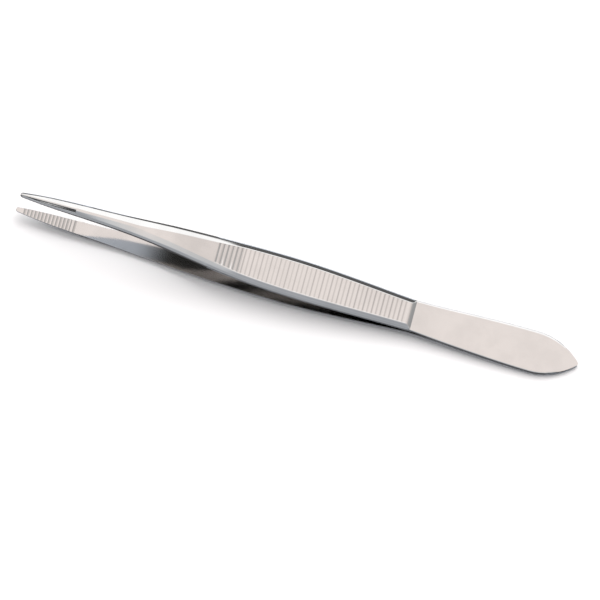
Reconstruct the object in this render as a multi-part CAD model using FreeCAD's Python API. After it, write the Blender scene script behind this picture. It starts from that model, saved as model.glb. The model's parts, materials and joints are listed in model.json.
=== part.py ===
import FreeCAD, Part

import math
import os

# Splinter forceps: two arms of one pattern, laid back to back and welded along the leaf at the rear.
# Millimetres. An arm is drawn in its own frame: X runs from the tip to the rear end, Y goes across,
# and Z points out from the plane where the arms meet. At the end both are laid down as they rest.

# Lengths along the arm
LENGTH = 115.0              # tip to the point of the leaf
LEAF_LENGTH = 34.0          # shoulder to the point of the leaf
WELD_LENGTH = 26.0          # stretch at the rear where the arms lie against each other
ARCH_LENGTH = 9.2           # pointed arch that ends the leaf
ARCH_POINT_RADIUS = 0.5     # rounding of the arch's point
JAW_LENGTH = 40.5           # tip to the first rib
TIP_FACET_LENGTH = 11.3     # thinned stretch behind the tip

# Widths across the inner face
TIP_WIDTH = 1.0
NECK_WIDTH = 3.3            # where the slim part of the jaw begins to widen
NECK_FROM_TIP = 20.0
JAW_ROOT_WIDTH = 6.85       # at the first rib
GRIP_WIDTH = 8.15           # widest place of the grip
GRIP_FROM_TIP = 56.5
SHOULDER_WIDTH = 6.5
LEAF_WIDTH = 8.65
TIP_SPREAD = 0.13           # slope of the outline behind the tip
SHOULDER_TAPER = 0.03       # slope of the outline in front of the shoulder
LEAF_SPREAD = 0.05          # slope of the outline behind the shoulder

# Thicknesses, measured out from the inner face
LEAF_THICKNESS = 0.6
GRIP_THICKNESS = 0.98
NECK_THICKNESS = 1.04
KNEE_THICKNESS = 1.06
TIP_FACET_THICKNESS = 1.0   # where the thinned stretch begins
TIP_THICKNESS = 0.5

# Openings between the inner faces of the two arms
TIP_OPENING = 8.4
NECK_OPENING = 9.4
KNEE_OPENING = 8.6          # at the knee the slim jaw bends over towards the grip
KNEE_FROM_TIP = 30.5
JAW_ROOT_OPENING = 6.05     # at the first rib
MIDDLE_OPENING = 3.75
MIDDLE_FROM_TIP = 59.0
REAR_OPENING = 1.15
REAR_TO_SHOULDER = 2.5      # how far in front of the shoulder that opening is
TIP_SLOPE = 0.06            # the tips lean towards each other
KNEE_JAW_FALL = 0.03        # slope of the outer face in front of the knee
KNEE_GRIP_FALL = 0.11       # and behind it, so that the arm rests on a crease

# Sloped sides
EDGE_BEVEL_WIDTH = 0.58     # steep bevel beside the upright edge, at the grip
JAW_EDGE_BEVEL_WIDTH = 0.4
EDGE_BEVEL_HEIGHT = 0.28
EDGE_ABOVE_LEAF = 0.02      # upright edge of the arm above the leaf's outer face
EDGE_SHARE = 0.5            # most of the thickness that the upright edge may take, at the thin tip
BEVEL_SHARE = 0.75          # most of the thickness that edge and bevel may take together
SLIM_SHARE = 1 / 3          # most of the half width that the bevel or the half ridge may take
TIP_FACET_TILT = 20.0       # degrees, facet ground on one side of the ridge behind the tip
MARGIN = 0.42               # shallow facet between the bevel and the ribbed face
RIDGE_WIDTH = 0.55          # flat left on the back of the slim part of the jaw
RIDGE_OFFSET = 0.24         # the ridge is ground a little to one side near the tip
SPEAR_LENGTH = 21.0         # the flat back narrows from full width to the ridge over this length
SPEAR_PAST_RIB = 4.5        # full width is reached this far behind the first rib

# Shoulder between the grip and the leaf
SHOULDER_SLOPE_LENGTH = 0.55
SHOULDER_CHAMFER_LENGTH = 0.4
SHOULDER_CHAMFER_DROP = 0.08

# Ribs across the outer face of the grip
RIB_PITCH = 0.9
RIB_GROOVE_WIDTH = 0.5
RIB_GROOVE_DEPTH = 0.1
RIB_END_MARGIN = 0.12
RIB_TO_SHOULDER = 1.2

# Serrations across the inner face of the tips
SERRATION_PITCH = 0.73
SERRATION_WIDTH = 0.5
SERRATION_DEPTH = 0.14
SERRATION_FROM_TIP = 1.8
SERRATED_LENGTH = 10.4

SPEAR_END = JAW_LENGTH + SPEAR_PAST_RIB
SPEAR_START = SPEAR_END - SPEAR_LENGTH
SHOULDER_X = LENGTH - LEAF_LENGTH
SLOPE_X = SHOULDER_X - SHOULDER_SLOPE_LENGTH
CHAMFER_X = SLOPE_X - SHOULDER_CHAMFER_LENGTH
WELD_X = LENGTH - WELD_LENGTH
ARCH_X = LENGTH - ARCH_LENGTH
EDGE_HEIGHT = LEAF_THICKNESS + EDGE_ABOVE_LEAF
BEVEL_TOP = EDGE_HEIGHT + EDGE_BEVEL_HEIGHT
REACH = 3.0                 # how far cutting shapes run past the arm
GROUND_OVERLAP = 0.3        # how far the ground facets run on over the flat back
GROUND_STEPS = 32           # sections that shape the ground facets along the arm


def vec(x, y, z=0.0):
    return FreeCAD.Vector(x, y, z)


def spline(points, start, end):
    """Smooth curve through the points, with the directions at its two ends given."""
    curve = Part.BSplineCurve()
    curve.interpolate(Points=points, InitialTangent=start, FinalTangent=end)
    return curve


def point_at(curve, x):
    """Point of a curve that runs along X, at the distance x from the tip."""
    low = curve.FirstParameter
    high = curve.LastParameter
    for _ in range(50):
        middle = (low + high) / 2.0
        if curve.value(middle).x < x:
            low = middle
        else:
            high = middle
    return curve.value(low)


def jaw_edge():
    """Half the outline from behind the rounded tip to the shoulder."""
    points = [
        vec(TIP_WIDTH / 2, TIP_WIDTH / 2),
        vec(NECK_FROM_TIP, NECK_WIDTH / 2),
        vec(JAW_LENGTH, JAW_ROOT_WIDTH / 2),
        vec(GRIP_FROM_TIP, GRIP_WIDTH / 2),
        vec(SHOULDER_X, SHOULDER_WIDTH / 2),
    ]
    return spline(points, vec(1, TIP_SPREAD), vec(1, -SHOULDER_TAPER))


def leaf_edge():
    """Half the outline from the shoulder to the foot of the pointed arch."""
    points = [vec(SHOULDER_X, SHOULDER_WIDTH / 2), vec(ARCH_X, LEAF_WIDTH / 2)]
    return spline(points, vec(1, LEAF_SPREAD), vec(1, 0))


def inner_curve():
    """Side view of the inner face, from the tip to the front of the weld, in X and Z."""
    points = [
        vec(0, 0, TIP_OPENING / 2),
        vec(NECK_FROM_TIP, 0, NECK_OPENING / 2),
        vec(KNEE_FROM_TIP, 0, KNEE_OPENING / 2),
        vec(JAW_LENGTH, 0, JAW_ROOT_OPENING / 2),
        vec(MIDDLE_FROM_TIP, 0, MIDDLE_OPENING / 2),
        vec(SHOULDER_X - REAR_TO_SHOULDER, 0, REAR_OPENING / 2),
        vec(WELD_X, 0, 0),
    ]
    return spline(points, vec(1, 0, TIP_SLOPE), vec(1, 0, 0))


JAW_EDGE = jaw_edge()
LEAF_EDGE = leaf_edge()
INNER = inner_curve()


def inner_height(x):
    """Height of the inner face above the plane where the arms meet."""
    if x >= WELD_X:
        return 0.0
    return point_at(INNER, max(x, 0.0)).z


def back_point(x, thickness):
    """Point of the outer face's side view where the arm is that thick."""
    return vec(x, 0, inner_height(x) + thickness)


BACK_TIP = back_point(0, TIP_THICKNESS)
BACK_FACET = back_point(TIP_FACET_LENGTH, TIP_FACET_THICKNESS)
BACK_KNEE = back_point(KNEE_FROM_TIP, KNEE_THICKNESS)


def jaw_back():
    """Side view of the outer face from the thinned tip to the knee."""
    neck = back_point(NECK_FROM_TIP, NECK_THICKNESS)
    return spline([BACK_FACET, neck, BACK_KNEE], neck - BACK_FACET, vec(1, 0, -KNEE_JAW_FALL))


def grip_back():
    """Side view of the outer face from the knee to the shoulder's chamfer."""
    middle_x = (GRIP_FROM_TIP + CHAMFER_X) / 2
    points = [BACK_KNEE] + [back_point(x, GRIP_THICKNESS)
                            for x in (JAW_LENGTH, GRIP_FROM_TIP, middle_x, CHAMFER_X)]
    return spline(points, vec(1, 0, -KNEE_GRIP_FALL), points[-1] - points[-2])


JAW_BACK = jaw_back()
GRIP_BACK = grip_back()


def back_top(x):
    """Height of the outer face over the plane where the arms meet."""
    if x <= TIP_FACET_LENGTH:
        return BACK_TIP.z + (BACK_FACET.z - BACK_TIP.z) * x / TIP_FACET_LENGTH
    return point_at(JAW_BACK if x <= KNEE_FROM_TIP else GRIP_BACK, x).z


def half_width(x):
    """Half the width of the arm between its tip and its shoulder."""
    return point_at(JAW_EDGE, min(max(x, TIP_WIDTH / 2), SHOULDER_X)).y


def both_sides(curve):
    """Edges of an outline curve and of its mirror image on the other side of the arm."""
    edge = curve.toShape()
    return [edge, edge.mirror(vec(0, 0), vec(0, 1))]


def arch_arcs():
    """Upper side of the pointed arch, and the small arc that rounds its point."""
    half = LEAF_WIDTH / 2
    reach = ARCH_LENGTH - ARCH_POINT_RADIUS
    radius = (reach ** 2 + half ** 2 - ARCH_POINT_RADIUS ** 2) / (2 * (half - ARCH_POINT_RADIUS))
    centre = vec(ARCH_X, half - radius)
    turn = math.atan2(reach, radius - half)
    middle = centre + vec(math.sin(turn / 2), math.cos(turn / 2)) * radius
    meeting = centre + vec(math.sin(turn), math.cos(turn)) * radius
    side = Part.Arc(vec(ARCH_X, half), middle, meeting)
    point = Part.Arc(meeting, vec(LENGTH, 0), vec(meeting.x, -meeting.y))
    return side, point


def outline_face():
    """Plan of the arm: rounded tip, jaw, grip, leaf and pointed arch."""
    tip_high = vec(TIP_WIDTH / 2, TIP_WIDTH / 2)
    tip_low = vec(TIP_WIDTH / 2, -TIP_WIDTH / 2)
    side, point = arch_arcs()
    edges = [Part.Arc(tip_low, vec(0, 0), tip_high).toShape(), point.toShape()]
    for curve in (JAW_EDGE, LEAF_EDGE, side):
        edges += both_sides(curve)
    return Part.Face(Part.Wire(Part.__sortEdges__(edges)))


def blank():
    """Bent strip of the arm's side view, trimmed to its outline."""
    low_chamfer = back_point(SLOPE_X, GRIP_THICKNESS - SHOULDER_CHAMFER_DROP)
    leaf_places = (SHOULDER_X, (SHOULDER_X + WELD_X) / 2, WELD_X)
    leaf_points = [back_point(x, LEAF_THICKNESS) for x in leaf_places]
    leaf_back = Part.BSplineCurve()
    leaf_back.interpolate(Points=leaf_points)
    inner_tip = INNER.value(INNER.FirstParameter)
    rear = vec(LENGTH + REACH, 0, LEAF_THICKNESS)
    inner_rear = vec(rear.x, 0)
    corners = [
        (BACK_TIP, BACK_FACET),
        (point_at(GRIP_BACK, CHAMFER_X), low_chamfer),
        (low_chamfer, leaf_points[0]),
        (leaf_points[-1], rear),
        (rear, inner_rear),
        (inner_rear, vec(WELD_X, 0)),
        (inner_tip, BACK_TIP),
    ]
    edges = [Part.LineSegment(start, end).toShape() for start, end in corners]
    edges += [curve.toShape() for curve in (INNER, JAW_BACK, GRIP_BACK, leaf_back)]
    side = Part.Face(Part.Wire(Part.__sortEdges__(edges)))
    wide = max(GRIP_WIDTH, LEAF_WIDTH) / 2 + REACH
    side.translate(vec(0, -wide))
    strip = side.extrude(vec(0, 2 * wide))
    outline = outline_face()
    outline.translate(vec(0, 0, -REACH))
    return strip.common(outline.extrude(vec(0, 0, max(TIP_OPENING, NECK_OPENING) + 2 * REACH)))


def edge_bevel(x):
    """Width of the steep bevel: narrow along the jaw, full at the grip."""
    share = min(max((x - NECK_FROM_TIP) / (JAW_LENGTH - NECK_FROM_TIP), 0.0), 1.0)
    width = JAW_EDGE_BEVEL_WIDTH + share * (EDGE_BEVEL_WIDTH - JAW_EDGE_BEVEL_WIDTH)
    return min(width, half_width(x) * SLIM_SHARE)


def flat_half(x):
    """Half the width of the flat back: a ridge at the jaw, a spear point, then the ribbed face."""
    full = half_width(x) - edge_bevel(x) - MARGIN
    spear_full = half_width(SPEAR_END) - EDGE_BEVEL_WIDTH - MARGIN
    share = max((x - SPEAR_START) / SPEAR_LENGTH, 0.0)
    ridge = min(RIDGE_WIDTH / 2, half_width(x) * SLIM_SHARE)
    return max(min(full, ridge + share * (spear_full - ridge)), ridge)


def ridge_offset(x):
    """How far the middle of the ridge lies to one side."""
    share = (SPEAR_START - x) / (SPEAR_START - TIP_FACET_LENGTH)
    slim = half_width(x) / (NECK_WIDTH / 2)
    return -RIDGE_OFFSET * min(max(share, 0.0), 1.0, slim)


def side_section(x, side):
    """Section of what is ground off one side: a facet beside the flat back, then the edge bevel."""
    base = inner_height(x)
    top = back_top(x)
    width = half_width(x)
    bevel = edge_bevel(x)
    edge = base + min(EDGE_HEIGHT, EDGE_SHARE * (top - base))
    knee = base + min(BEVEL_TOP, BEVEL_SHARE * (top - base))
    flat_y = side * flat_half(x) + ridge_offset(x)
    knee_y = side * (width - bevel)
    inward = GROUND_OVERLAP / abs(flat_y - knee_y)
    outside = GRIP_WIDTH / 2 + REACH
    high = max(TIP_OPENING, NECK_OPENING) + REACH
    corners = [
        vec(x, side * outside, edge - (knee - edge) * (outside - width) / bevel),
        vec(x, knee_y, knee),
        vec(x, flat_y + (flat_y - knee_y) * inward, top + (top - knee) * inward),
        vec(x, flat_y + (flat_y - knee_y) * inward, high),
        vec(x, side * outside, high),
    ]
    return Part.makePolygon(corners + corners[:1])


def ground_sides():
    """The two shapes that are ground off beside the flat back, one on each side."""
    start = -TIP_WIDTH
    step = (SHOULDER_X - start) / GROUND_STEPS
    stations = [start + step * index for index in range(GROUND_STEPS + 1)]
    return [Part.makeLoft([side_section(x, side) for x in stations], True, False)
            for side in (-1, 1)]


def tip_facet():
    """What is ground off on one side of the ridge behind the tip."""
    fall = REACH * math.tan(math.radians(TIP_FACET_TILT))
    sections = []
    for x in (-TIP_WIDTH, TIP_FACET_LENGTH):
        ridge_y = ridge_offset(x)
        top = back_top(x)
        corners = [
            vec(x, ridge_y, top),
            vec(x, ridge_y - REACH, top - fall),
            vec(x, ridge_y - REACH, top + REACH),
            vec(x, ridge_y, top + REACH),
        ]
        sections.append(Part.makePolygon(corners + corners[:1]))
    return Part.makeLoft(sections, True, True)


def rib_grooves():
    """Grooves across the ribbed face, closed at both ends."""
    length = SHOULDER_X - RIB_TO_SHOULDER - JAW_LENGTH
    count = int(length / RIB_PITCH) + 1
    half = RIB_GROOVE_WIDTH / 2
    grooves = []
    for index in range(count):
        x = JAW_LENGTH + index * RIB_PITCH
        top = back_top(x)
        reach = flat_half(x) - RIB_END_MARGIN
        corners = [
            vec(x - 2 * half, -reach, top + RIB_GROOVE_DEPTH),
            vec(x + 2 * half, -reach, top + RIB_GROOVE_DEPTH),
            vec(x, -reach, top - RIB_GROOVE_DEPTH),
        ]
        face = Part.Face(Part.makePolygon(corners + corners[:1]))
        grooves.append(face.extrude(vec(0, 2 * reach)))
    return grooves


def serrations():
    """Fine grooves right across the inner face behind the tip."""
    count = int(SERRATED_LENGTH / SERRATION_PITCH) + 1
    half = SERRATION_WIDTH / 2
    grooves = []
    for index in range(count):
        x = SERRATION_FROM_TIP + index * SERRATION_PITCH
        base = inner_height(x)
        corners = [
            vec(x - 2 * half, -REACH, base - SERRATION_DEPTH),
            vec(x + 2 * half, -REACH, base - SERRATION_DEPTH),
            vec(x, -REACH, base + SERRATION_DEPTH),
        ]
        face = Part.Face(Part.makePolygon(corners + corners[:1]))
        grooves.append(face.extrude(vec(0, 2 * REACH)))
    return grooves


def arm():
    """One finished arm in its own frame."""
    shape = blank().cut(ground_sides() + [tip_facet()])
    return shape.cut(rib_grooves() + serrations())


def main():
    os.makedirs("parts", exist_ok=True)
    upper = arm()
    lower = upper.copy()
    lower.rotate(vec(0, 0), vec(1, 0), 180)
    arms = {"upper_arm": upper, "lower_arm": lower}
    # The part rests on the knee of its lower arm and on the point of the leaf.
    tilt = math.degrees(math.atan2(BACK_KNEE.z - LEAF_THICKNESS, LENGTH - BACK_KNEE.x))
    for shape in arms.values():
        shape.rotate(vec(LENGTH, 0, -LEAF_THICKNESS), vec(0, 1), tilt)
    box = Part.makeCompound(list(arms.values())).optimalBoundingBox(False, False)
    for name, shape in arms.items():
        shape.translate(vec(-box.Center.x, 0, -box.ZMin))
        shape.Solids[0].exportStep(f"parts/{name}.step")


main()
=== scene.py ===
"""Splinter forceps of polished steel, lying on a pale floor as they come to rest."""
import json
import logging
import math
from bisect import bisect_right
from collections.abc import Sequence
from dataclasses import dataclass, field
from enum import Enum

import bmesh
import bpy
from mathutils import Matrix, Vector


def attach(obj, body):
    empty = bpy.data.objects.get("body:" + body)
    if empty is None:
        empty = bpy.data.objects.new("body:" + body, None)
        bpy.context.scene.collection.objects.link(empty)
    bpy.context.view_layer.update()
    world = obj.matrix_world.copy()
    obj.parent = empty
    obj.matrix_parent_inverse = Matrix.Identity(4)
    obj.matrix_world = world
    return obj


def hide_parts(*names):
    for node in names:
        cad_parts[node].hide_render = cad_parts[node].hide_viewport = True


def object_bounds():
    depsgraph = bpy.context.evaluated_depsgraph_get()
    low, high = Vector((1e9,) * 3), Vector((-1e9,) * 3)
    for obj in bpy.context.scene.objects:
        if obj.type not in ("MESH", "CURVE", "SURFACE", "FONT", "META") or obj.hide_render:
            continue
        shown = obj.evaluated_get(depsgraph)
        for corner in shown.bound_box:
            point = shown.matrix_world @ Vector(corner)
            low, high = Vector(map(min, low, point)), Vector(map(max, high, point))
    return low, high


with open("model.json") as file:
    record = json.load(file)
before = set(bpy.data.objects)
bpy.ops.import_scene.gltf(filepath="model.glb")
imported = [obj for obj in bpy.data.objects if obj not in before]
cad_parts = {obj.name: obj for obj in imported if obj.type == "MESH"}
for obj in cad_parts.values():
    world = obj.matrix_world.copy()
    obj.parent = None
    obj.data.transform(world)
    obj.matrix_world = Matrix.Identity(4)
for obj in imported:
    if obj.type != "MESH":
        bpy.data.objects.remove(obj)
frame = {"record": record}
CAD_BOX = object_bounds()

log = logging.getLogger("splinter_forceps")

MM = 0.001
SAME_PLACE = 1e-7           # metres: closer than this, two places are one
ON_LINE = 0.5               # a vertex with more weight than this stands on a long line
COLOUR_MIX_INPUTS = (0, 6, 7)   # sockets of a colour mix: share, first and second colour
COLOUR_MIX_OUTPUT = 2


class Side(Enum):
    """The two long sides of an arm: the one nearer to the viewer, and the far one."""

    NEAR = -1
    FAR = 1


class Line(Enum):
    """Groups of long lines of the arm's skin that are shaped again after the loft."""

    INNER = "inner_lines"
    GROOVE_FLOOR = "groove_floor_lines"


@dataclass(frozen=True)
class SmoothCurve:
    """Smooth curve y(x) through a few points, with the slopes at both ends given.

    Args:
        points: (x, y) pairs with rising x.
        start_slope: Slope at the first point.
        end_slope: Slope at the last point.
    """

    points: tuple[tuple[float, float], ...]
    start_slope: float
    end_slope: float

    def bends(self) -> list[float]:
        """Second derivative at each point.

        Returns:
            One value for each point.
        """
        xs = [x for x, _ in self.points]
        ys = [y for _, y in self.points]
        last = len(xs) - 1
        gaps = [xs[i + 1] - xs[i] for i in range(last)]
        slopes = [(ys[i + 1] - ys[i]) / gaps[i] for i in range(last)]
        edges = [self.start_slope] + slopes + [self.end_slope]
        widths = [0.0] + gaps + [0.0]
        main = [2 * (widths[i] + widths[i + 1]) for i in range(last + 1)]
        right = [6 * (edges[i + 1] - edges[i]) for i in range(last + 1)]
        for i in range(1, last + 1):
            share = widths[i] / main[i - 1]
            main[i] -= share * widths[i]
            right[i] -= share * right[i - 1]
        found = [0.0] * (last + 1)
        found[last] = right[last] / main[last]
        for i in range(last - 1, -1, -1):
            found[i] = (right[i] - widths[i + 1] * found[i + 1]) / main[i]
        return found

    def at(self, x: float) -> float:
        """Height of the curve.

        Args:
            x: Place along the curve, held to its two ends.

        Returns:
            The curve's y there.
        """
        xs = [point[0] for point in self.points]
        x = min(max(x, xs[0]), xs[-1])
        i = min(bisect_right(xs, x), len(xs) - 1) - 1
        bends = self.bends()
        (x0, y0), (x1, y1) = self.points[i], self.points[i + 1]
        gap = x1 - x0
        a = (x1 - x) / gap
        b = (x - x0) / gap
        curl = (a ** 3 - a) * bends[i] + (b ** 3 - b) * bends[i + 1]
        return a * y0 + b * y1 + curl * gap ** 2 / 6


def share_between(x: float, low: float, high: float) -> float:
    """How far x is from low (0) to high (1), held to that range."""
    return min(max((x - low) / (high - low), 0.0), 1.0)


def select_only(vertices: Sequence[bmesh.types.BMVert], mesh: bmesh.types.BMesh) -> None:
    """Selects these vertices of the mesh in edit mode and nothing else.

    Args:
        vertices: The vertices to select.
        mesh: The edit mesh that they belong to.
    """
    bpy.ops.mesh.select_all(action="DESELECT")
    for vertex in vertices:
        vertex.select = True
    mesh.select_flush_mode()


@dataclass
class ForcepsArm:
    """One arm in its own frame, in millimetres: X from tip to rear, Z out from the inner face's plane."""

    length: float = 115.0
    leaf_length: float = 34.0
    weld_length: float = 26.0
    arch_length: float = 9.2
    arch_point_radius: float = 0.5
    jaw_length: float = 40.5
    tip_facet_length: float = 11.3

    tip_width: float = 1.0
    neck_width: float = 3.3
    neck_from_tip: float = 20.0
    jaw_root_width: float = 6.85
    grip_width: float = 8.15
    grip_from_tip: float = 56.5
    shoulder_width: float = 6.5
    leaf_width: float = 8.65
    tip_flare: float = 0.13         # slopes of the outline: at the tip, at the shoulder, and behind it
    shoulder_taper: float = -0.03
    leaf_flare: float = 0.05

    leaf_thickness: float = 0.6
    grip_thickness: float = 0.98
    neck_thickness: float = 1.04
    knee_thickness: float = 1.06
    tip_facet_thickness: float = 1.0
    tip_thickness: float = 0.5

    tip_opening: float = 8.4
    neck_opening: float = 9.4
    knee_opening: float = 8.6
    knee_from_tip: float = 30.5
    jaw_root_opening: float = 6.05
    middle_opening: float = 3.75
    middle_from_tip: float = 59.0
    rear_opening: float = 1.15
    rear_to_shoulder: float = 2.5
    tip_slope: float = 0.06
    knee_jaw_fall: float = 0.03
    knee_grip_fall: float = 0.11

    edge_bevel_width: float = 0.58
    jaw_edge_bevel_width: float = 0.4
    edge_bevel_height: float = 0.28
    edge_height: float = 0.62
    margin: float = 0.42
    edge_share: float = 0.5         # the upright edge is at most this share of the thickness
    bevel_share: float = 0.75       # and the steep bevel ends at most this high
    slim_parts: float = 3.0         # on a slim tip bevel and ridge take 1 part in so many of it
    slope_flat_share: float = 0.98  # width of the flat where the shoulder's slope has cut the bevel away
    ridge_width: float = 0.55
    ridge_offset: float = 0.24
    spear_length: float = 21.0
    spear_past_rib: float = 4.5
    tip_facet_tilt: float = math.radians(20)

    shoulder_slope_length: float = 0.55
    shoulder_chamfer_length: float = 0.4
    shoulder_chamfer_drop: float = 0.08

    rib_pitch: float = 0.9
    rib_groove_width: float = 0.5
    rib_groove_depth: float = 0.09
    rib_end_margin: float = 0.12
    rib_to_shoulder: float = 1.2
    rib_end_slope: float = 0.04

    serration_pitch: float = 0.73
    serration_width: float = 0.5
    serration_depth: float = 0.08
    serration_from_tip: float = 1.8
    serrated_length: float = 10.4

    inner_skew: float = math.radians(5.6)   # sideways tilt of the jaw's inner face, chosen
    skew_start: float = 12.0
    skew_full: float = 21.0
    skew_fade: float = 32.0
    skew_end: float = 50.0
    inner_corner: float = 0.04      # how much each long corner of the section is broken
    edge_corner: float = 0.05
    bevel_corner: float = 0.07
    flat_corner: float = 0.09
    ridge_corner: float = 0.025
    leaf_edge_break: float = 0.14
    largest_cut: float = 0.3        # a broken corner or a rib end takes at most this share of a side
    leaf_shares: tuple[float, ...] = (1.0, 1.0, 0.86, 0.78, 0.74, 0.73)    # of the leaf's half width
    end_gap: float = 0.02           # a section just past a sudden step stands this far behind it
    station_step: float = 1.5
    tip_turns: tuple[float, ...] = (16, 32, 48, 66, 90)     # degrees round the tip
    behind_tip: float = 1.2
    arch_sections: int = 12
    point_turns: tuple[float, ...] = (45, 60, 72)           # degrees round the rear point
    facing_in: float = -0.8         # faces whose normal's Z is lower than this belong to the inner face

    jaw_outline: SmoothCurve = field(init=False)
    leaf_outline: SmoothCurve = field(init=False)
    inner_side: SmoothCurve = field(init=False)
    jaw_back: SmoothCurve = field(init=False)
    grip_back: SmoothCurve = field(init=False)

    def __post_init__(self) -> None:
        """Draws the outlines and side views from the driving sizes."""
        self.shoulder_x = self.length - self.leaf_length
        self.weld_x = self.length - self.weld_length
        self.arch_x = self.length - self.arch_length
        self.spear_end = self.jaw_length + self.spear_past_rib
        self.spear_start = self.spear_end - self.spear_length
        self.slope_x = self.shoulder_x - self.shoulder_slope_length
        self.chamfer_x = self.slope_x - self.shoulder_chamfer_length
        self.jaw_outline = SmoothCurve((
            (self.tip_width / 2, self.tip_width / 2),
            (self.neck_from_tip, self.neck_width / 2),
            (self.jaw_length, self.jaw_root_width / 2),
            (self.grip_from_tip, self.grip_width / 2),
            (self.shoulder_x, self.shoulder_width / 2),
        ), self.tip_flare, self.shoulder_taper)
        self.leaf_outline = SmoothCurve((
            (self.shoulder_x, self.shoulder_width / 2),
            (self.arch_x, self.leaf_width / 2),
        ), self.leaf_flare, 0.0)
        self.inner_side = SmoothCurve((
            (0.0, self.tip_opening / 2),
            (self.neck_from_tip, self.neck_opening / 2),
            (self.knee_from_tip, self.knee_opening / 2),
            (self.jaw_length, self.jaw_root_opening / 2),
            (self.middle_from_tip, self.middle_opening / 2),
            (self.shoulder_x - self.rear_to_shoulder, self.rear_opening / 2),
            (self.weld_x, 0.0),
        ), self.tip_slope, 0.0)
        facet, neck, knee = [(x, self.base_height(x) + thick) for x, thick in (
            (self.tip_facet_length, self.tip_facet_thickness),
            (self.neck_from_tip, self.neck_thickness),
            (self.knee_from_tip, self.knee_thickness),
        )]
        rise = (neck[1] - facet[1]) / (neck[0] - facet[0])
        self.jaw_back = SmoothCurve((facet, neck, knee), rise, -self.knee_jaw_fall)
        middle = (self.grip_from_tip + self.chamfer_x) / 2
        grip = [(x, self.base_height(x) + self.grip_thickness)
                for x in (self.jaw_length, self.grip_from_tip, middle, self.chamfer_x)]
        fall = (grip[-1][1] - grip[-2][1]) / (grip[-1][0] - grip[-2][0])
        self.grip_back = SmoothCurve((knee, *grip), -self.knee_grip_fall, fall)

    def half_width(self, x: float) -> float:
        """Half the width of the plan at x.

        Args:
            x: Distance from the tip.

        Returns:
            Half the width.
        """
        if x < self.tip_width / 2:
            radius = self.tip_width / 2
            return math.sqrt(max(radius ** 2 - (radius - x) ** 2, 0.0))
        if x <= self.shoulder_x:
            return self.jaw_outline.at(x)
        if x <= self.arch_x:
            return self.leaf_outline.at(x)
        return self.arch_half_width(x)

    def arch_half_width(self, x: float) -> float:
        """Half the width within the pointed arch and its rounded point.

        Args:
            x: Distance from the tip.

        Returns:
            Half the width.
        """
        half = self.leaf_width / 2
        point = self.arch_point_radius
        reach = self.arch_length - point
        radius = (reach ** 2 + half ** 2 - point ** 2) / (2 * (half - point))
        along = x - self.arch_x
        meeting = radius * reach / math.hypot(reach, radius - half)
        if along < meeting:
            return half - radius + math.sqrt(radius ** 2 - along ** 2)
        return math.sqrt(max(point ** 2 - (along - reach) ** 2, 0.0))

    def base_height(self, x: float) -> float:
        """Height of the inner face at x."""
        return self.inner_side.at(x) if x < self.weld_x else 0.0

    def nominal_thickness(self, x: float) -> float:
        """Thickness before the shoulder is cut down to the leaf."""
        if x >= self.knee_from_tip:
            return self.grip_back.at(x) - self.base_height(x)
        if x >= self.tip_facet_length:
            return self.jaw_back.at(x) - self.base_height(x)
        tip = self.base_height(0.0) + self.tip_thickness
        facet = self.base_height(self.tip_facet_length) + self.tip_facet_thickness
        return tip + (facet - tip) * x / self.tip_facet_length - self.base_height(x)

    def thickness(self, x: float) -> float:
        """Thickness of the arm at x, with the shoulder's chamfer and slope.

        Args:
            x: Distance from the tip.

        Returns:
            The thickness.
        """
        if x <= self.chamfer_x:
            return self.nominal_thickness(x)
        low = self.grip_thickness - self.shoulder_chamfer_drop
        if x <= self.slope_x:
            done = share_between(x, self.chamfer_x, self.slope_x)
            return self.grip_thickness - done * self.shoulder_chamfer_drop
        done = share_between(x, self.slope_x, self.shoulder_x)
        return low - done * (low - self.leaf_thickness)

    def edge_bevel(self, x: float) -> float:
        """Width of the steep bevel beside the upright edge."""
        grown = share_between(x, self.neck_from_tip, self.jaw_length)
        width = self.jaw_edge_bevel_width + grown * (self.edge_bevel_width - self.jaw_edge_bevel_width)
        return min(width, self.half_width(x) / self.slim_parts)

    def flat_half(self, x: float) -> float:
        """Half the width of the flat back: ridge, spear point, then ribbed face.

        Args:
            x: Distance from the tip.

        Returns:
            Half the flat's width.
        """
        full = self.half_width(x) - self.edge_bevel(x) - self.margin
        widest = self.half_width(self.spear_end) - self.edge_bevel_width - self.margin
        ridge = min(self.ridge_width / 2, self.half_width(x) / self.slim_parts)
        grown = max((x - self.spear_start) / self.spear_length, 0.0)
        return max(min(full, ridge + grown * (widest - ridge)), ridge)

    def flat_shift(self, x: float) -> float:
        """How far the ridge lies to the near side."""
        grown = 1.0 - share_between(x, self.tip_facet_length, self.spear_start)
        slim = min(self.half_width(x) / (self.neck_width / 2), 1.0)
        return -self.ridge_offset * min(grown, slim)

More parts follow.
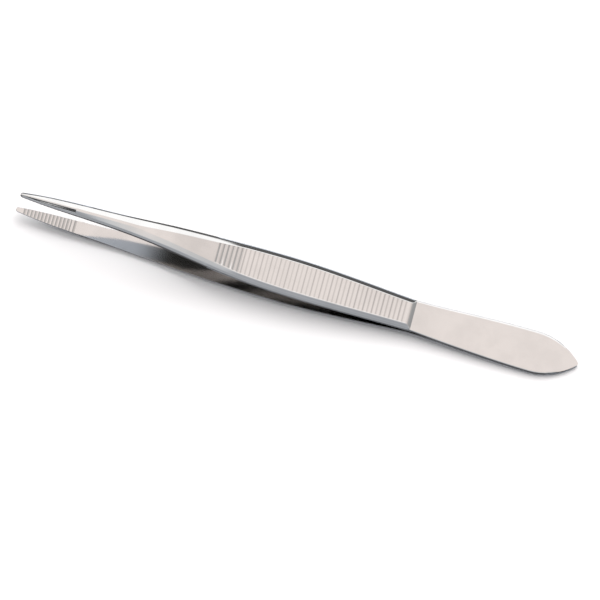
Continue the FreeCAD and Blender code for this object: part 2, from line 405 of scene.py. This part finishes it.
    def ground_corners(self, x: float, side: Side) -> list[Vector]:
        """Corners of one half of the section between tip and shoulder, from inner face to groove floor.

        Args:
            x: Distance from the tip.
            side: Which half.

        Returns:
            Six corners: inner, edge top, bevel top, flat edge, rib end and groove floor.
        """
        base = self.base_height(x)
        width = self.half_width(x)
        nominal = self.nominal_thickness(x)
        top = self.thickness(x)
        bevel = self.edge_bevel(x)
        edge = min(self.edge_height, self.edge_share * nominal)
        knee = min(self.edge_height + self.edge_bevel_height, self.bevel_share * nominal)
        knee_y = side.value * (width - bevel)
        flat_y = side.value * self.flat_half(x) + self.flat_shift(x)
        if top < nominal and top > knee:
            flat_y = knee_y + (flat_y - knee_y) * (top - knee) / (nominal - knee)
        if top <= knee:
            knee_y = side.value * (width - bevel * max(top - edge, 0.0) / (knee - edge))
            flat_y = knee_y * self.slope_flat_share
        edge = min(edge, top)
        knee = min(knee, top)
        middle = self.flat_shift(x)
        margin = min(self.rib_end_margin / abs(flat_y - middle), self.largest_cut)
        rib_y = flat_y + (middle - flat_y) * margin
        slope = min(self.rib_end_slope / abs(rib_y - middle), self.largest_cut)
        floor_y = rib_y + (middle - rib_y) * slope
        faded = share_between(x, self.skew_start, self.skew_full) \
            - share_between(x, self.skew_fade, self.skew_end)
        skew = side.value * width * math.tan(self.inner_skew) * faded
        heights = [skew, edge, knee, top, top, top]
        places = [side.value * width, side.value * width, knee_y, flat_y, rib_y, floor_y]
        if x <= self.tip_facet_length:
            self.grind_tip_facet(places, heights, middle, side)
        return [Vector((x, y, base + z)) for y, z in zip(places, heights)]

    def grind_tip_facet(self, places: list[float], heights: list[float], middle: float, side: Side) -> None:
        """Lets the near half of the ridge fall off sideways, as the tip is ground.

        Args:
            places: Y of the half section's corners, changed in place.
            heights: Their heights over the inner face, changed in place.
            middle: Y of the ridge.
            side: Which half.
        """
        places[5] = middle + side.value * self.ridge_corner
        if side is Side.FAR:
            places[4] = places[5] + self.ridge_corner
            return
        fall = math.tan(self.tip_facet_tilt)
        knee_y, flat_y = places[2:4]
        knee, top = heights[2:4]
        steep = (top - knee) / (flat_y - knee_y)
        meeting = (knee - top + fall * middle - steep * knee_y) / (fall - steep)
        if steep > fall and meeting > knee_y:
            places[3] = meeting
        places[4] = (places[3] + places[5]) / 2
        for index in (3, 4, 5):
            heights[index] = top + fall * (places[index] - middle)

    def leaf_corners(self, x: float, side: Side) -> list[Vector]:
        """Corners of one half of the leaf's section, as many as on the ground part.

        Args:
            x: Distance from the tip.
            side: Which half.

        Returns:
            Six corners from the inner face to the middle of the outer face.
        """
        base = self.base_height(x)
        width = self.half_width(x)
        top = self.leaf_thickness
        heights = (0.0, top, top, top, top, top)
        return [Vector((x, side.value * width * share, base + z))
                for share, z in zip(self.leaf_shares, heights)]

    def broken(self, corners: list[Vector], breaks: Sequence[float]) -> list[Vector]:
        """Ring of a section with its corners broken.

        Args:
            corners: The section's corners in order.
            breaks: How far each corner is cut back along both its sides, 0 to leave it.

        Returns:
            The ring's points, two for each broken corner.
        """
        ring = []
        count = len(corners)
        for index, (corner, cut) in enumerate(zip(corners, breaks)):
            if cut == 0.0:
                ring.append(corner)
                continue
            for other in (corners[index - 1], corners[(index + 1) % count]):
                way = other - corner
                reach = min(cut, self.largest_cut * way.length)
                ring.append(corner + way.normalized() * reach if way.length > 0 else corner.copy())
        return ring

    def ring(self, x: float) -> list[Vector]:
        """Section of the arm at x as a closed ring of points, in metres.

        Args:
            x: Distance from the tip.

        Returns:
            The ring's points in order.
        """
        half = self.leaf_corners if x > self.shoulder_x else self.ground_corners
        far = half(x, Side.FAR)
        near = half(x, Side.NEAR)
        if x > self.shoulder_x:
            cuts = [self.inner_corner, self.leaf_edge_break, 0.0, 0.0, 0.0, 0.0]
            cuts[2:4] = [self.inner_corner] * 2
        else:
            cuts = [self.inner_corner, self.edge_corner, self.bevel_corner, self.flat_corner, 0.0, 0.0]
        points = self.broken(far + near[::-1], cuts + cuts[::-1])
        return [point * MM for point in points]

    def stations(self) -> list[float]:
        """Places along the arm where its section is drawn.

        Returns:
            Rising distances from the tip.
        """
        radius = self.tip_width / 2
        tip = [radius * (1 - math.cos(math.radians(turn))) for turn in self.tip_turns]
        places = tip + [self.behind_tip]
        ground = self.lands(self.serration_from_tip, self.serration_pitch, self.tip_facet_length)
        ribbed = self.lands(self.jaw_length, self.rib_pitch, self.chamfer_x)
        places += ground + [self.tip_facet_length] + ribbed + [self.chamfer_x]
        runs = (
            (self.tip_facet_length + self.end_gap, self.knee_from_tip),
            (self.knee_from_tip, ribbed[0]),
            (self.chamfer_x, self.slope_x), (self.slope_x, self.shoulder_x),
            (self.shoulder_x + self.end_gap, self.weld_x), (self.weld_x, self.arch_x),
        )
        abrupt = (self.tip_facet_length + self.end_gap, self.shoulder_x + self.end_gap)
        for start, end in runs:
            count = math.ceil((end - start) / self.station_step)
            first = 0 if start in abrupt else 1
            last = count if end == ribbed[0] else count + 1
            places += [start + (end - start) * step / count for step in range(first, last)]
        reach = self.arch_length - self.arch_point_radius
        places += [self.arch_x + reach * math.sin(math.radians(90 * step / self.arch_sections))
                   for step in range(1, self.arch_sections)]
        point = self.arch_point_radius
        places += [self.length - point * (1 - math.sin(math.radians(turn))) for turn in self.point_turns]
        return sorted(places)

    def lands(self, first: float, pitch: float, end: float) -> list[float]:
        """Middles of every second land between grooves, where no groove is cut.

        Args:
            first: Middle of the first groove.
            pitch: Distance from groove to groove.
            end: Where the row ends.

        Returns:
            Distances from the tip.
        """
        count = math.ceil((end - first) / (2 * pitch))
        return [first + (2 * index - 0.5) * pitch for index in range(count)
                if first + (2 * index - 0.5) * pitch < end - self.end_gap]

    def rib_places(self) -> list[float]:
        """Middles of the grooves between the ribs."""
        length = self.shoulder_x - self.rib_to_shoulder - self.jaw_length
        count = int(length / self.rib_pitch) + 1
        return [self.jaw_length + index * self.rib_pitch for index in range(count)]

    def serration_places(self) -> list[float]:
        """Middles of the serrations of the tip."""
        count = int(self.serrated_length / self.serration_pitch) + 1
        return [self.serration_from_tip + index * self.serration_pitch for index in range(count)]

    def start_ring(self, ring: list[Vector], name: str) -> bpy.types.Object:
        """Adds the end face of the tip and goes into edit mode.

        Args:
            ring: The first section.
            name: Name of the new piece.

        Returns:
            The new object, in edit mode, with the end face selected.
        """
        bpy.ops.object.select_all(action="DESELECT")
        bpy.ops.mesh.primitive_circle_add(vertices=len(ring), radius=self.tip_width * MM,
                                          fill_type="NGON", location=(0, 0, 0))
        arm = bpy.context.object
        arm.name = name
        arm.data.name = name
        count = len(ring)
        inner = [0, 1, count - 2, count - 1]
        floor = [count // 2 - 1, count // 2]
        for line, members in ((Line.INNER, inner), (Line.GROOVE_FLOOR, floor)):
            arm.vertex_groups.new(name=line.value).add(members, 1.0, "REPLACE")
        bpy.ops.object.mode_set(mode="EDIT")
        mesh = bmesh.from_edit_mesh(arm.data)
        mesh.verts.ensure_lookup_table()
        self.place_ring(arm, list(mesh.verts), ring)
        return arm

    def place_ring(self, arm: bpy.types.Object, vertices: list[bmesh.types.BMVert],
                   ring: list[Vector]) -> None:
        """Moves each vertex of the end face to its place, and selects the face again.

        Args:
            arm: The object in edit mode.
            vertices: The end face's vertices, in the ring's order.
            ring: Where they go.
        """
        mesh = bmesh.from_edit_mesh(arm.data)
        indices = [vertex.index for vertex in vertices]
        for index, place in zip(indices, ring):
            mesh = bmesh.from_edit_mesh(arm.data)
            mesh.verts.ensure_lookup_table()
            vertex = mesh.verts[index]
            step = place - vertex.co
            if step.length > SAME_PLACE:
                select_only([vertex], mesh)
                bpy.ops.transform.translate(value=step)
        mesh = bmesh.from_edit_mesh(arm.data)
        mesh.verts.ensure_lookup_table()
        select_only([mesh.verts[index] for index in indices], mesh)

    def loft(self, name: str) -> bpy.types.Object:
        """Draws the arm's skin out from the tip, section by section.

        Args:
            name: Name of the new piece.

        Returns:
            The closed skin, in edit mode.
        """
        rings = [self.ring(x) for x in self.stations()]
        arm = self.start_ring(rings[0], name)
        for before, after in zip(rings, rings[1:]):
            step = Vector((after[0].x - before[0].x, 0, 0))
            bpy.ops.mesh.extrude_region_move(TRANSFORM_OT_translate={"value": step})
            mesh = bmesh.from_edit_mesh(arm.data)
            mesh.verts.index_update()
            fresh = [vertex for vertex in mesh.verts if vertex.select]
            ordered = [min(fresh, key=lambda v: (v.co - place - step).length) for place in before]
            self.place_ring(arm, ordered, after)
        bpy.ops.mesh.select_all(action="SELECT")
        bpy.ops.mesh.normals_make_consistent(inside=False)
        return arm

    def lined(self, arm: bpy.types.Object, line: Line) -> list[bmesh.types.BMVert]:
        """Vertices that stand on these long lines.

        Args:
            arm: The object in edit mode.
            line: The long lines.

        Returns:
            Vertices of its edit mesh.
        """
        mesh = bmesh.from_edit_mesh(arm.data)
        group = arm.vertex_groups[line.value].index
        layer = mesh.verts.layers.deform.active
        return [vertex for vertex in mesh.verts if vertex[layer].get(group, 0.0) > ON_LINE]

    def cut_grooves(self, arm: bpy.types.Object, places: Sequence[float], width: float, line: Line,
                    step: float) -> None:
        """Cuts a groove across the skin at each place.

        Args:
            arm: The object in edit mode.
            places: Middles of the grooves.
            width: Width of a groove at the surface.
            line: The long lines that go down into the groove.
            step: How far they move along Z, in millimetres.
        """
        for middle in places:
            for x in (middle - width / 2, middle, middle + width / 2):
                bpy.ops.mesh.select_all(action="SELECT")
                bpy.ops.mesh.bisect(plane_co=(x * MM, 0, 0), plane_no=(1, 0, 0), threshold=SAME_PLACE)
        mesh = bmesh.from_edit_mesh(arm.data)
        lined = set(self.lined(arm, line))
        rims = [middle + end * width / 2 for middle in places for end in (-1, 1)]
        creases = rims + list(places)
        bpy.ops.mesh.select_all(action="DESELECT")
        bpy.ops.mesh.select_mode(type="EDGE")
        for edge in mesh.edges:
            along = abs(edge.verts[0].co.x - edge.verts[1].co.x)
            edge.select = edge.verts[0] in lined and edge.verts[1] in lined \
                and along < SAME_PLACE and self.stands_at(edge.verts[0], creases)
        bpy.ops.mesh.mark_sharp()
        bpy.ops.mesh.select_mode(type="VERT")
        floors = [vertex for vertex in self.lined(arm, line) if self.stands_at(vertex, places)]
        select_only(floors, bmesh.from_edit_mesh(arm.data))
        bpy.ops.transform.translate(value=(0, 0, step * MM))

    def crease_along(self, arm: bpy.types.Object, line: Line, end: float) -> None:
        """Marks the long edges of these lines as sharp, from the tip on.

        Args:
            arm: The object in edit mode.
            line: The long lines.
            end: How far from the tip the creases reach.
        """
        bpy.ops.mesh.select_all(action="DESELECT")
        bpy.ops.mesh.select_mode(type="EDGE")
        mesh = bmesh.from_edit_mesh(arm.data)
        lined = set(self.lined(arm, line))
        for edge in mesh.edges:
            places = [vertex.co.x for vertex in edge.verts]
            edge.select = lined.issuperset(edge.verts) and max(places) < end * MM \
                and abs(places[0] - places[1]) > SAME_PLACE
        bpy.ops.mesh.mark_sharp()
        bpy.ops.mesh.select_mode(type="VERT")

    def stands_at(self, vertex: bmesh.types.BMVert, places: Sequence[float]) -> bool:
        """Whether a vertex stands at one of these distances from the tip."""
        return any(abs(vertex.co.x - x * MM) < 10 * SAME_PLACE for x in places)

    def build(self, name: str) -> bpy.types.Object:
        """Models one arm in its own frame.

        Args:
            name: Name of the new piece.

        Returns:
            The arm, in object mode.
        """
        arm = self.loft(name)
        self.cut_grooves(arm, self.rib_places(), self.rib_groove_width, Line.GROOVE_FLOOR,
                         -self.rib_groove_depth)
        self.cut_grooves(arm, self.serration_places(), self.serration_width, Line.INNER,
                         self.serration_depth)
        self.crease_along(arm, Line.INNER, self.serration_places()[-1] + self.serration_pitch)
        bpy.ops.object.mode_set(mode="OBJECT")
        arm.vertex_groups.clear()
        # The inner faces take slot 1, whose steel carries painted shade towards the rear.
        for polygon in arm.data.polygons:
            polygon.material_index = int(polygon.normal.z < self.facing_in)
        log.info("%s: skin of %d faces", name, len(arm.data.polygons))
        return arm


@dataclass(frozen=True)
class Forceps:
    """The two arms, laid down as they rest.

    Args:
        pattern: The pattern that both arms follow.
        smooth_angle: Edges that turn by less than this are shaded smooth.
        area_weight: Setting of the weighted normals, from 1 to 100. At this scale the areas hardly count.
    """

    pattern: ForcepsArm
    smooth_angle: float = math.radians(50)
    area_weight: int = 50

    def resting_place(self) -> Matrix:
        """Turn and shift from the arm's frame to the row frame, read from the frame.

        Returns:
            The transform, in metres.
        """
        leaf = next(mount for mount in frame["record"]["mounts"] if mount["name"] == "leaf_face")
        tilt = math.atan2(leaf["axis"][0], leaf["axis"][2])
        thick = self.pattern.leaf_thickness * MM
        heel = Vector((self.pattern.length * MM, 0, -thick))
        rest_x = CAD_BOX[1][0] - 2 * thick * math.sin(tilt)
        rest = Vector((rest_x, 0, CAD_BOX[0][2]))
        return Matrix.Translation(rest) @ Matrix.Rotation(tilt, 4, "Y") @ Matrix.Translation(-heel)

    def lay_down(self, arm: bpy.types.Object, place: Matrix) -> None:
        """Moves an arm's mesh to its place and finishes its shading.

        Args:
            arm: The arm.
            place: Transform of its mesh.
        """
        bpy.ops.object.select_all(action="DESELECT")
        arm.select_set(True)
        bpy.context.view_layer.objects.active = arm
        arm.matrix_world = place
        bpy.ops.object.transform_apply(location=True, rotation=True, scale=True)
        bpy.ops.object.shade_smooth_by_angle(angle=self.smooth_angle)
        weights = arm.modifiers.new("facets", "WEIGHTED_NORMAL")
        weights.mode = "FACE_AREA"
        weights.weight = self.area_weight
        weights.keep_sharp = True
        bpy.ops.object.modifier_apply(modifier=weights.name)

    def build(self) -> dict[str, bpy.types.Object]:
        """Models both arms.

        Returns:
            The new pieces by the node that each stands for.
        """
        upper = self.pattern.build("upper_arm_steel")
        bpy.ops.object.select_all(action="DESELECT")
        upper.select_set(True)
        bpy.context.view_layer.objects.active = upper
        bpy.ops.object.duplicate(linked=False)
        lower = bpy.context.object
        lower.name = "lower_arm_steel"
        lower.data.name = "lower_arm_steel"
        place = self.resting_place()
        self.lay_down(upper, place)
        self.lay_down(lower, place @ Matrix.Rotation(math.pi, 4, "X"))
        arms = {"upper_arm": upper, "lower_arm": lower}
        for node, arm in arms.items():
            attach(arm, "root")
            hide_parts(node)
            log.info("%s stands for %s", arm.name, node)
        return arms


class Wire:
    """A shader socket that can be used in sums."""

    def __init__(self, shader: "Shader", socket: bpy.types.NodeSocket) -> None:
        """Keeps the socket and the shader that it belongs to.

        Args:
            shader: Owner of the node tree.
            socket: An output socket.
        """
        self.shader = shader
        self.socket = socket

    def maths(self, operation: str, *values: "Wire | float") -> "Wire":
        """Adds a Math node.

        Args:
            operation: The node's operation.
            values: Its inputs in order.

        Returns:
            The node's result.
        """
        inputs = dict(enumerate(values))
        return self.shader.node("ShaderNodeMath", {"operation": operation}, inputs).out("Value")

    def __add__(self, other: "Wire | float") -> "Wire":
        """Sum."""
        return self.maths("ADD", self, other)

    __radd__ = __add__

    def __mul__(self, other: "Wire | float") -> "Wire":
        """Product."""
        return self.maths("MULTIPLY", self, other)

    __rmul__ = __mul__

    def __truediv__(self, other: "Wire | float") -> "Wire":
        """Quotient."""
        return self.maths("DIVIDE", self, other)

    def ramp(self, low: float, high: float, start: float = 0.0, end: float = 1.0) -> "Wire":
        """Maps low..high to start..end, smoothly and held to that range."""
        inputs = {"Value": self, "From Min": low, "From Max": high, "To Min": start, "To Max": end}
        settings = {"interpolation_type": "SMOOTHSTEP"}
        return self.shader.node("ShaderNodeMapRange", settings, inputs).out("Result")


class Node:
    """A shader node whose outputs are wires."""

    def __init__(self, shader: "Shader", node: bpy.types.Node) -> None:
        """Keeps the node.

        Args:
            shader: Owner of the node tree.
            node: The node.
        """
        self.shader = shader
        self.node = node

    def out(self, name: str) -> Wire:
        """Output of the node by its name."""
        return Wire(self.shader, self.node.outputs[name])


class Shader:
    """A node tree that is written as expressions."""

    def __init__(self, tree: bpy.types.NodeTree) -> None:
        """Empties the tree.

        Args:
            tree: Node tree of a material or a world.
        """
        self.tree = tree
        tree.nodes.clear()

    def node(self, kind: str, settings: dict[str, object] | None = None,
             inputs: dict[str | int, "Wire | float | tuple"] | None = None) -> Node:
        """Adds one node.

        Args:
            kind: Type of the node.
            settings: Attributes to set first. "stops" holds a ramp's (place, colour) pairs.
            inputs: Values or wires by socket.

        Returns:
            The node.
        """
        made = self.tree.nodes.new(kind)
        for name, value in (settings or {}).items():
            if name == "stops":
                self.set_stops(made.color_ramp, value)
            else:
                setattr(made, name, value)
        for key, value in (inputs or {}).items():
            socket = made.inputs[key]
            if isinstance(value, Wire):
                self.tree.links.new(value.socket, socket)
            else:
                socket.default_value = value
        return Node(self, made)

    def set_stops(self, ramp: bpy.types.ColorRamp, stops: Sequence[tuple[float, tuple]]) -> None:
        """Gives a ramp its stops.

        Args:
            ramp: The ramp.
            stops: (place, colour) pairs with rising places.
        """
        while len(ramp.elements) < len(stops):
            ramp.elements.new(0.5)
        for element, (place, colour) in zip(ramp.elements, stops):
            element.position = place
            element.color = colour

    def mixed(self, share: Wire | float, first: Wire | tuple, second: Wire | tuple) -> Wire:
        """Mixes two colours.

        Args:
            share: Share of the second colour.
            first: A colour.
            second: Another colour.

        Returns:
            The mixed colour.
        """
        made = self.node("ShaderNodeMix", {"data_type": "RGBA"})
        sockets = [made.node.inputs[index] for index in COLOUR_MIX_INPUTS]
        for socket, value in zip(sockets, (share, first, second)):
            if isinstance(value, Wire):
                self.tree.links.new(value.socket, socket)
            else:
                socket.default_value = value
        return Wire(self, made.node.outputs[COLOUR_MIX_OUTPUT])


@dataclass(frozen=True)
class SatinSteel:
    """Finely polished stainless steel with faint polishing lines along the arm, and shade painted into its
    colour towards the rear where a shade colour is given.

    Args:
        name: Name of the material.
        colour: Reflected colour.
        dull_colour: Colour where the polish is a little duller.
        painted_shade_colour: Colour of the shade painted in towards the rear, or None where the colour
            stays the same.
        deep_range: Object X where the painted shade begins and where it is full, in metres.
        roughness: Roughness of the polish.
        roughness_spread: How much the roughness varies.
        line_spacing: Typical width of the polishing lines, in metres.
        line_stretch: How much longer than wide they are.
        line_height: Height of the lines in the bump, in metres.
        cloud_size: Size of the duller clouds, in metres.
        line_range: Noise values between which the lines grow rough.
        cloud_range: Noise values between which the clouds grow dull.
        line_share: Share of the roughness that follows the lines.
        cloud_share: Share of the roughness that follows the clouds.
    """

    name: str = "satin_steel"
    colour: tuple[float, float, float, float] = (0.60, 0.595, 0.59, 1.0)
    dull_colour: tuple[float, float, float, float] = (0.57, 0.565, 0.56, 1.0)
    painted_shade_colour: tuple[float, float, float, float] | None = None
    deep_range: tuple[float, float] = (-0.032, -0.014)
    roughness: float = 0.07
    roughness_spread: float = 0.05
    line_spacing: float = 0.00012
    line_stretch: float = 30.0
    line_height: float = 0.0000015
    cloud_size: float = 0.004
    line_range: tuple[float, float] = (0.3, 0.7)
    cloud_range: tuple[float, float] = (0.35, 0.7)
    line_share: float = 0.6
    cloud_share: float = 0.4

    def build(self) -> bpy.types.Material:
        """Makes the material.

        Returns:
            The material.
        """
        material = bpy.data.materials.new(self.name)
        material.use_nodes = True
        shader = Shader(material.node_tree)
        place = shader.node("ShaderNodeTexCoord").out("Object")
        across = 1.0 / self.line_spacing
        stretch = shader.node("ShaderNodeMapping", {}, {
            "Vector": place, "Scale": (across / self.line_stretch, across, across)}).out("Vector")
        lines = shader.node("ShaderNodeTexNoise", {"noise_dimensions": "3D"}, {
            "Vector": stretch, "Scale": 1.0, "Detail": 2.0}).out("Fac")
        clouds = shader.node("ShaderNodeTexNoise", {"noise_dimensions": "3D"}, {
            "Vector": place, "Scale": 1.0 / self.cloud_size, "Detail": 3.0}).out("Fac")
        dull = clouds.ramp(*self.cloud_range)
        colour = shader.mixed(dull, self.colour, self.dull_colour)
        # Painted shade: towards the rear the colour darkens, where the gap between the arms lies in shade.
        if self.painted_shade_colour:
            along = shader.node("ShaderNodeSeparateXYZ", {}, {"Vector": place}).out("X")
            colour = shader.mixed(along.ramp(*self.deep_range), colour, self.painted_shade_colour)
        uneven = self.line_share * lines.ramp(*self.line_range) + self.cloud_share * dull
        rough = self.roughness + self.roughness_spread * uneven
        bump = shader.node("ShaderNodeBump", {}, {
            "Height": lines, "Strength": 1.0, "Distance": self.line_height}).out("Normal")
        steel = shader.node("ShaderNodeBsdfPrincipled", {}, {
            "Base Color": colour, "Metallic": 1.0, "Roughness": rough, "Normal": bump})
        shader.node("ShaderNodeOutputMaterial", {}, {"Surface": steel.out("BSDF")})
        return material


@dataclass(frozen=True)
class SteelFinishesAndPaintedShade:
    """Finishes of the outer faces, and of the inner face of each arm, with shade painted into the inner
    faces towards the rear.
    """

    outer: SatinSteel = SatinSteel()
    # Painted shade: each inner face darkens towards the rear, where the gap between the arms lies in shade;
    # the lower arm's shade is darker.
    upper_inner: SatinSteel = SatinSteel(
        name="upper_inner_steel_painted_shade", painted_shade_colour=(0.15, 0.148, 0.145, 1.0), deep_range=(-0.041, -0.027))
    lower_inner: SatinSteel = SatinSteel(
        name="lower_inner_steel_painted_shade", painted_shade_colour=(0.067, 0.065, 0.061, 1.0), deep_range=(-0.026, -0.008))

    def dress(self, arms: dict[str, bpy.types.Object]) -> None:
        """Gives each arm its finishes: slot 0 outside, slot 1 inside, where shade is painted in towards the
        rear.

        Args:
            arms: The pieces by node.
        """
        outer = self.outer.build()
        for node, finish in (("upper_arm", self.upper_inner), ("lower_arm", self.lower_inner)):
            inner = finish.build()
            arm = arms[node]
            arm.data.materials.clear()
            for steel in (outer, inner):
                arm.data.materials.append(steel)
            log.info("%s: %s, %s", arm.name, outer.name, inner.name)


@dataclass(frozen=True)
class PaleFloor:
    """Plain pale floor.

    Args:
        size: Length of its sides, in metres.
        colour: Its colour.
        roughness: Its roughness.
    """

    size: float = 6.0
    colour: tuple[float, float, float, float] = (0.94, 0.925, 0.915, 1.0)
    roughness: float = 1.0

    def build(self) -> bpy.types.Object:
        """Lays the floor under the object.

        Returns:
            The floor.
        """
        bpy.ops.object.select_all(action="DESELECT")
        bpy.ops.mesh.primitive_plane_add(size=self.size, location=(0, 0, CAD_BOX[0][2]))
        floor = bpy.context.object
        floor.name = "floor"
        bpy.ops.object.transform_apply(location=True, rotation=True, scale=True)
        material = bpy.data.materials.new("floor_paper")
        material.use_nodes = True
        shader = Shader(material.node_tree)
        paper = shader.node("ShaderNodeBsdfDiffuse", {}, {
            "Color": self.colour, "Roughness": self.roughness})
        shader.node("ShaderNodeOutputMaterial", {}, {"Surface": paper.out("BSDF")})
        floor.data.materials.append(material)
        floor.visible_glossy = False
        return floor


@dataclass(frozen=True)
class SoftBox:
    """Large soft lamp high up behind the object, which lays the soft shadow in front of it.

    Args:
        elevation: Degrees above the far horizon.
        distance: Distance from the object, in metres.
        size: Length of its sides, in metres.
        power: Its power, in watts.
        colour: Colour of its light.
    """

    elevation: float = 68.0
    distance: float = 1.0
    size: float = 1.0
    power: float = 8.6
    colour: tuple[float, float, float] = (0.97, 1.0, 1.04)

    def build(self) -> bpy.types.Object:
        """Hangs the lamp.

        Returns:
            The lamp.
        """
        rise = math.radians(self.elevation)
        away = Vector((0, math.cos(rise), math.sin(rise)))
        lamp = bpy.data.lights.new("soft_box", "AREA")
        lamp.size = self.size
        lamp.energy = self.power
        lamp.color = self.colour
        box = bpy.data.objects.new("soft_box", lamp)
        bpy.context.scene.collection.objects.link(box)
        box.location = away * self.distance
        box.rotation_euler = away.to_track_quat("Z", "Y").to_euler()
        box.visible_glossy = False
        return box


@dataclass(frozen=True)
class Viewpoint:
    """Camera that sees the object as the photograph does.

    Args:
        elevation: Degrees above the horizon.
        roll: Degrees by which the arms drop to the right.
        distance: Distance to the middle of the picture, in metres.
        frame_width: Width of what the picture shows there, in metres.
        target: Place on the floor in the middle of the picture, in metres.
        sensor: Width of the sensor, in millimetres.
        clip: Nearest and farthest distance that it sees, in metres.
    """

    elevation: float = 70.0
    roll: float = 15.17
    distance: float = 1.2
    frame_width: float = 0.1186
    target: tuple[float, float, float] = (0.00123, -0.00187, 0.0)
    sensor: float = 36.0
    clip: tuple[float, float] = (0.01, 50.0)

    def toward_camera(self) -> Vector:
        """Unit vector from the object to the camera."""
        rise = math.radians(self.elevation)
        return Vector((0, -math.cos(rise), math.sin(rise)))

    def build(self) -> bpy.types.Object:
        """Adds the camera and makes it the scene's.

        Returns:
            The camera.
        """
        lens = bpy.data.cameras.new("camera")
        lens.sensor_width = self.sensor
        lens.lens = self.sensor * self.distance / self.frame_width
        lens.clip_start, lens.clip_end = self.clip
        camera = bpy.data.objects.new("camera", lens)
        bpy.context.scene.collection.objects.link(camera)
        back = self.toward_camera()
        rise = math.radians(self.elevation)
        level_up = Vector((0, math.sin(rise), math.cos(rise)))
        turn = math.radians(self.roll)
        right = Vector((1, 0, 0)) * math.cos(turn) + level_up * math.sin(turn)
        up = back.cross(right)
        place = Vector(self.target) + back * self.distance
        camera.matrix_world = Matrix((
            (right.x, up.x, back.x, place.x),
            (right.y, up.y, back.y, place.y),
            (right.z, up.z, back.z, place.z),
            (0, 0, 0, 1),
        ))
        bpy.context.scene.camera = camera
        return camera


@dataclass(frozen=True)
class SoftTent:
    """Soft studio light as a tent of cloth round the table, brighter behind the object.

    Args:
        sweep: Degrees from the far horizon over the top to the near one, and red, green and blue there.
        strength: Brightness of the whole tent.
        side_dark: Brightness at the left and right ends, as a share.
        side_range: How far to the side the tent begins to darken, and where it is darkest.
        far_ground: Colour below the far horizon, which the steel sees in place of the shaded floor.
        near_ground: The same on the near side, where the shadow lies.
        deep_ground: The same towards the left and right ends.
        deep_range: How far to the side the ground begins to darken, and where it is darkest.
        lens_size: Half angle of the dark camera, in degrees.
        lens_shift: How far the dark camera stands to the left, as a part of its distance.
        lens_edge: Softness of its rim, as a difference of cosines.
        lens_brightness: Brightness that it leaves of the tent.
        ground_turn: Y of the directions between which the near ground turns into the far one.
        horizon: Z of the directions between which the ground turns into the tent.
        lowest: Height that keeps the tent's angle defined at and below the horizon.
    """

    sweep: tuple[tuple[float, float, float, float], ...] = (
        (0, 0.08, 0.08, 0.08), (20, 0.10, 0.10, 0.10), (27, 1.06, 1.06, 1.06), (60, 1.06, 1.06, 1.06),
        (66, 0.82, 0.755, 0.725), (90, 0.80, 0.735, 0.705), (96, 0.67, 0.655, 0.65),
        (108, 0.58, 0.59, 0.60), (115, 0.52, 0.535, 0.56), (122, 0.36, 0.375, 0.40),
        (134, 0.32, 0.335, 0.36), (180, 0.40, 0.415, 0.44),
    )
    strength: float = 1.6
    side_dark: float = 0.30
    side_range: tuple[float, float] = (0.15, 0.85)
    far_ground: tuple[float, float, float, float] = (0.66, 0.71, 0.79, 1.0)
    near_ground: tuple[float, float, float, float] = (0.08, 0.08, 0.085, 1.0)
    deep_ground: tuple[float, float, float, float] = (0.04, 0.04, 0.038, 1.0)
    deep_range: tuple[float, float] = (0.04, 0.42)
    lens_size: float = 4.0
    lens_shift: float = -0.095
    lens_edge: float = 0.001
    lens_brightness: float = 0.05
    ground_turn: tuple[float, float] = (-0.1, 0.1)
    horizon: tuple[float, float] = (-0.02, 0.02)
    lowest: float = 0.0001

    def build(self, view: Viewpoint) -> bpy.types.World:
        """Makes the world.

        Args:
            view: The viewpoint, which shows as a small dark patch.

        Returns:
            The world.
        """
        world = bpy.data.worlds.new("tent")
        bpy.context.scene.world = world
        world.use_nodes = True
        shader = Shader(world.node_tree)
        way = shader.node("ShaderNodeTexCoord").out("Generated")
        parts = shader.node("ShaderNodeSeparateXYZ", {}, {"Vector": way})
        across, along, high = parts.out("Y"), parts.out("X"), parts.out("Z")
        angle = high.maths("ARCTAN2", high.maths("MAXIMUM", high, self.lowest), across) / math.pi
        stops = [(degrees / 180, (*colour, 1.0)) for degrees, *colour in self.sweep]
        sweep = shader.node("ShaderNodeValToRGB", {"stops": stops}, {"Fac": angle}).out("Color")
        aside = along.maths("ABSOLUTE", along)
        ends = aside.ramp(*self.side_range, 1.0, self.side_dark)
        lens = (view.toward_camera() + Vector((self.lens_shift, 0, 0))).normalized()
        facing = shader.node("ShaderNodeVectorMath", {"operation": "DOT_PRODUCT"}, {
            0: way, 1: tuple(lens)}).out("Value")
        rim = math.cos(math.radians(self.lens_size))
        clear = facing.ramp(rim - self.lens_edge, rim + self.lens_edge, 1.0, self.lens_brightness)
        ground = shader.mixed(across.ramp(*self.ground_turn), self.near_ground, self.far_ground)
        ground = shader.mixed(aside.ramp(*self.deep_range), ground, self.deep_ground)
        colour = shader.mixed(high.ramp(*self.horizon), ground, sweep)
        level = ends * clear * self.strength
        light = shader.node("ShaderNodeBackground", {}, {"Color": colour, "Strength": level})
        shader.node("ShaderNodeOutputWorld", {}, {"Surface": light.out("Background")})
        return world


def main() -> None:
    """Builds the forceps, dresses them and sets up the studio."""
    logging.basicConfig(level=logging.INFO, format="%(name)s: %(message)s")
    arms = Forceps(ForcepsArm()).build()
    SteelFinishesAndPaintedShade().dress(arms)
    PaleFloor().build()
    SoftBox().build()
    view = Viewpoint()
    view.build()
    SoftTent().build(view)
    bpy.context.scene.view_settings.view_transform = "Standard"
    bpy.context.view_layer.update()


if __name__ == "__main__":
    main()
